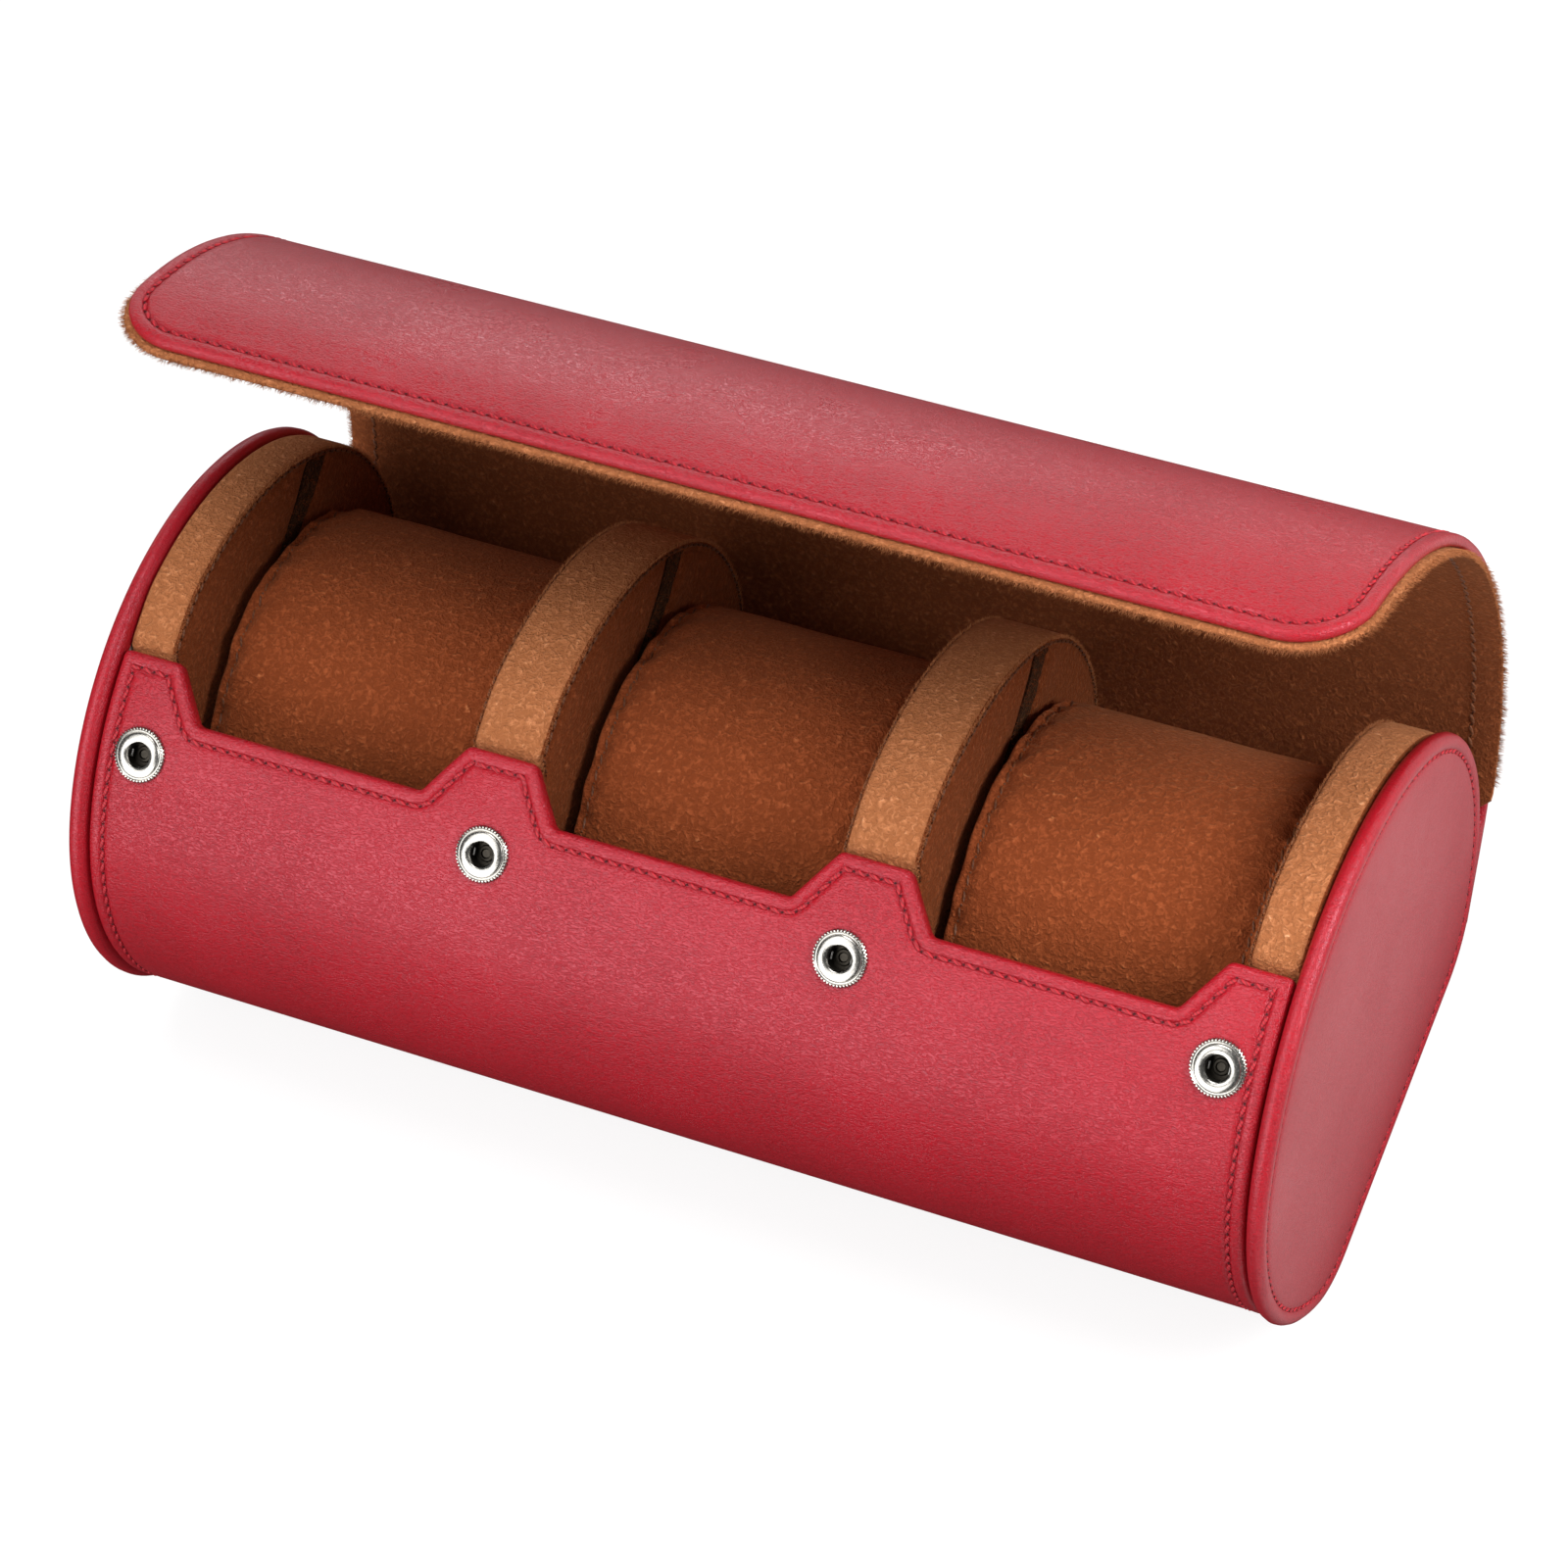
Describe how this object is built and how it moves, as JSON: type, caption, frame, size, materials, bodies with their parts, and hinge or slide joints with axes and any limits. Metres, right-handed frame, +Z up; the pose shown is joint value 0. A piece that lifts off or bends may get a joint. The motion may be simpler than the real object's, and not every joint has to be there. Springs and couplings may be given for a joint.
{
  "type": "watch travel case",
  "caption": "Stiff leather travel case with capped ends, padded dividers, lift-out cushions for watches, and a long soft flap that folds over and snaps to the front.",
  "frame": {"origin": "middle of the flat underside that the case stands on", "axes": "+X along the case towards its right end, -Y towards the front with the snaps, +Z up"},
  "size_m": [0.224, 0.1234, 0.1329],
  "materials": {
    "red_leather": "fine grained, soft sheen",
    "suede": "short nap, matt",
    "board": "matt grey board",
    "padding": "matt felt and foam",
    "nickel": "bright nickel",
    "spring_steel": "satin wire"
  },
  "bodies": {
    "case": {"wall_cover": "red_leather", "wall_board": "board", "wall_lining": "suede", "hinge_spine": "red_leather", "cap_cover_left": "red_leather", "cap_cover_right": "red_leather", "cap_board_left": "board", "cap_board_right": "board", "end_band_left": "suede", "end_band_right": "suede", "end_pad_left": "suede", "end_pad_right": "suede", "divider_band_left": "suede", "divider_band_right": "suede", "divider_board_left": "board", "divider_board_right": "board", "divider_pad_left_outer": "suede", "divider_pad_left_inner": "suede", "divider_pad_right_inner": "suede", "divider_pad_right_outer": "suede", "snap_sockets": "nickel", "snap_springs": "spring_steel"},
    "flap_1": {"flap_cover_1": "red_leather", "flap_felt_1": "padding", "flap_lining_1": "suede"},
    "flap_2": {"flap_cover_2": "red_leather", "flap_felt_2": "padding", "flap_lining_2": "suede"},
    "flap_3": {"flap_cover_3": "red_leather", "flap_felt_3": "padding", "flap_lining_3": "suede"},
    "flap_4": {"flap_cover_4": "red_leather", "flap_felt_4": "padding", "flap_lining_4": "suede"},
    "flap_edge": {"flap_cover_5": "red_leather", "flap_felt_5": "padding", "flap_lining_5": "suede", "snap_studs": "nickel"},
    "cushion_left": {"cushion_cover_left": "suede", "cushion_roll_left": "padding"},
    "cushion_middle": {"cushion_cover_middle": "suede", "cushion_roll_middle": "padding"},
    "cushion_right": {"cushion_cover_right": "suede", "cushion_roll_right": "padding"}
  },
  "joints": [
    {"name": "flap_hinge", "type": "hinge", "parent": "case", "child": "flap_1", "pos_m": [0, 0.05032, 0.01433], "axis": [-1, 0, 0], "range_deg": [-21.8, 40]},
    {"name": "flap_bend_1", "type": "hinge", "parent": "flap_1", "child": "flap_2", "pos_m": [0, 0.06603, 0.03899], "axis": [-1, 0, 0], "range_deg": [-13.05, 23.9]},
    {"name": "flap_bend_2", "type": "hinge", "parent": "flap_2", "child": "flap_3", "pos_m": [0, 0.07055, 0.06788], "axis": [-1, 0, 0], "range_deg": [-9.25, 16.93]},
    {"name": "flap_bend_3", "type": "hinge", "parent": "flap_3", "child": "flap_4", "pos_m": [0, 0.06313, 0.09617], "axis": [-1, 0, 0], "range_deg": [-3.35, 6.11]},
    {"name": "flap_edge_bend", "type": "hinge", "parent": "flap_4", "child": "flap_edge", "pos_m": [0, 0.04501, 0.11911], "axis": [-1, 0, 0], "range_deg": [-7, 25]},
    {"name": "cushion_left_lift", "type": "slide", "parent": "case", "child": "cushion_left", "axis": [0, 0.5299, 0.848], "range_m": [0, 0.04]},
    {"name": "cushion_middle_lift", "type": "slide", "parent": "case", "child": "cushion_middle", "axis": [0, 0.5299, 0.848], "range_m": [0, 0.04]},
    {"name": "cushion_right_lift", "type": "slide", "parent": "case", "child": "cushion_right", "axis": [0, 0.5299, 0.848], "range_m": [0, 0.04]}
  ],
  "couplings": [
    {"joint": "flap_bend_1", "follows": "flap_hinge", "ratio": 0.5963},
    {"joint": "flap_bend_2", "follows": "flap_hinge", "ratio": 0.422},
    {"joint": "flap_bend_3", "follows": "flap_hinge", "ratio": 0.1514}
  ]
}
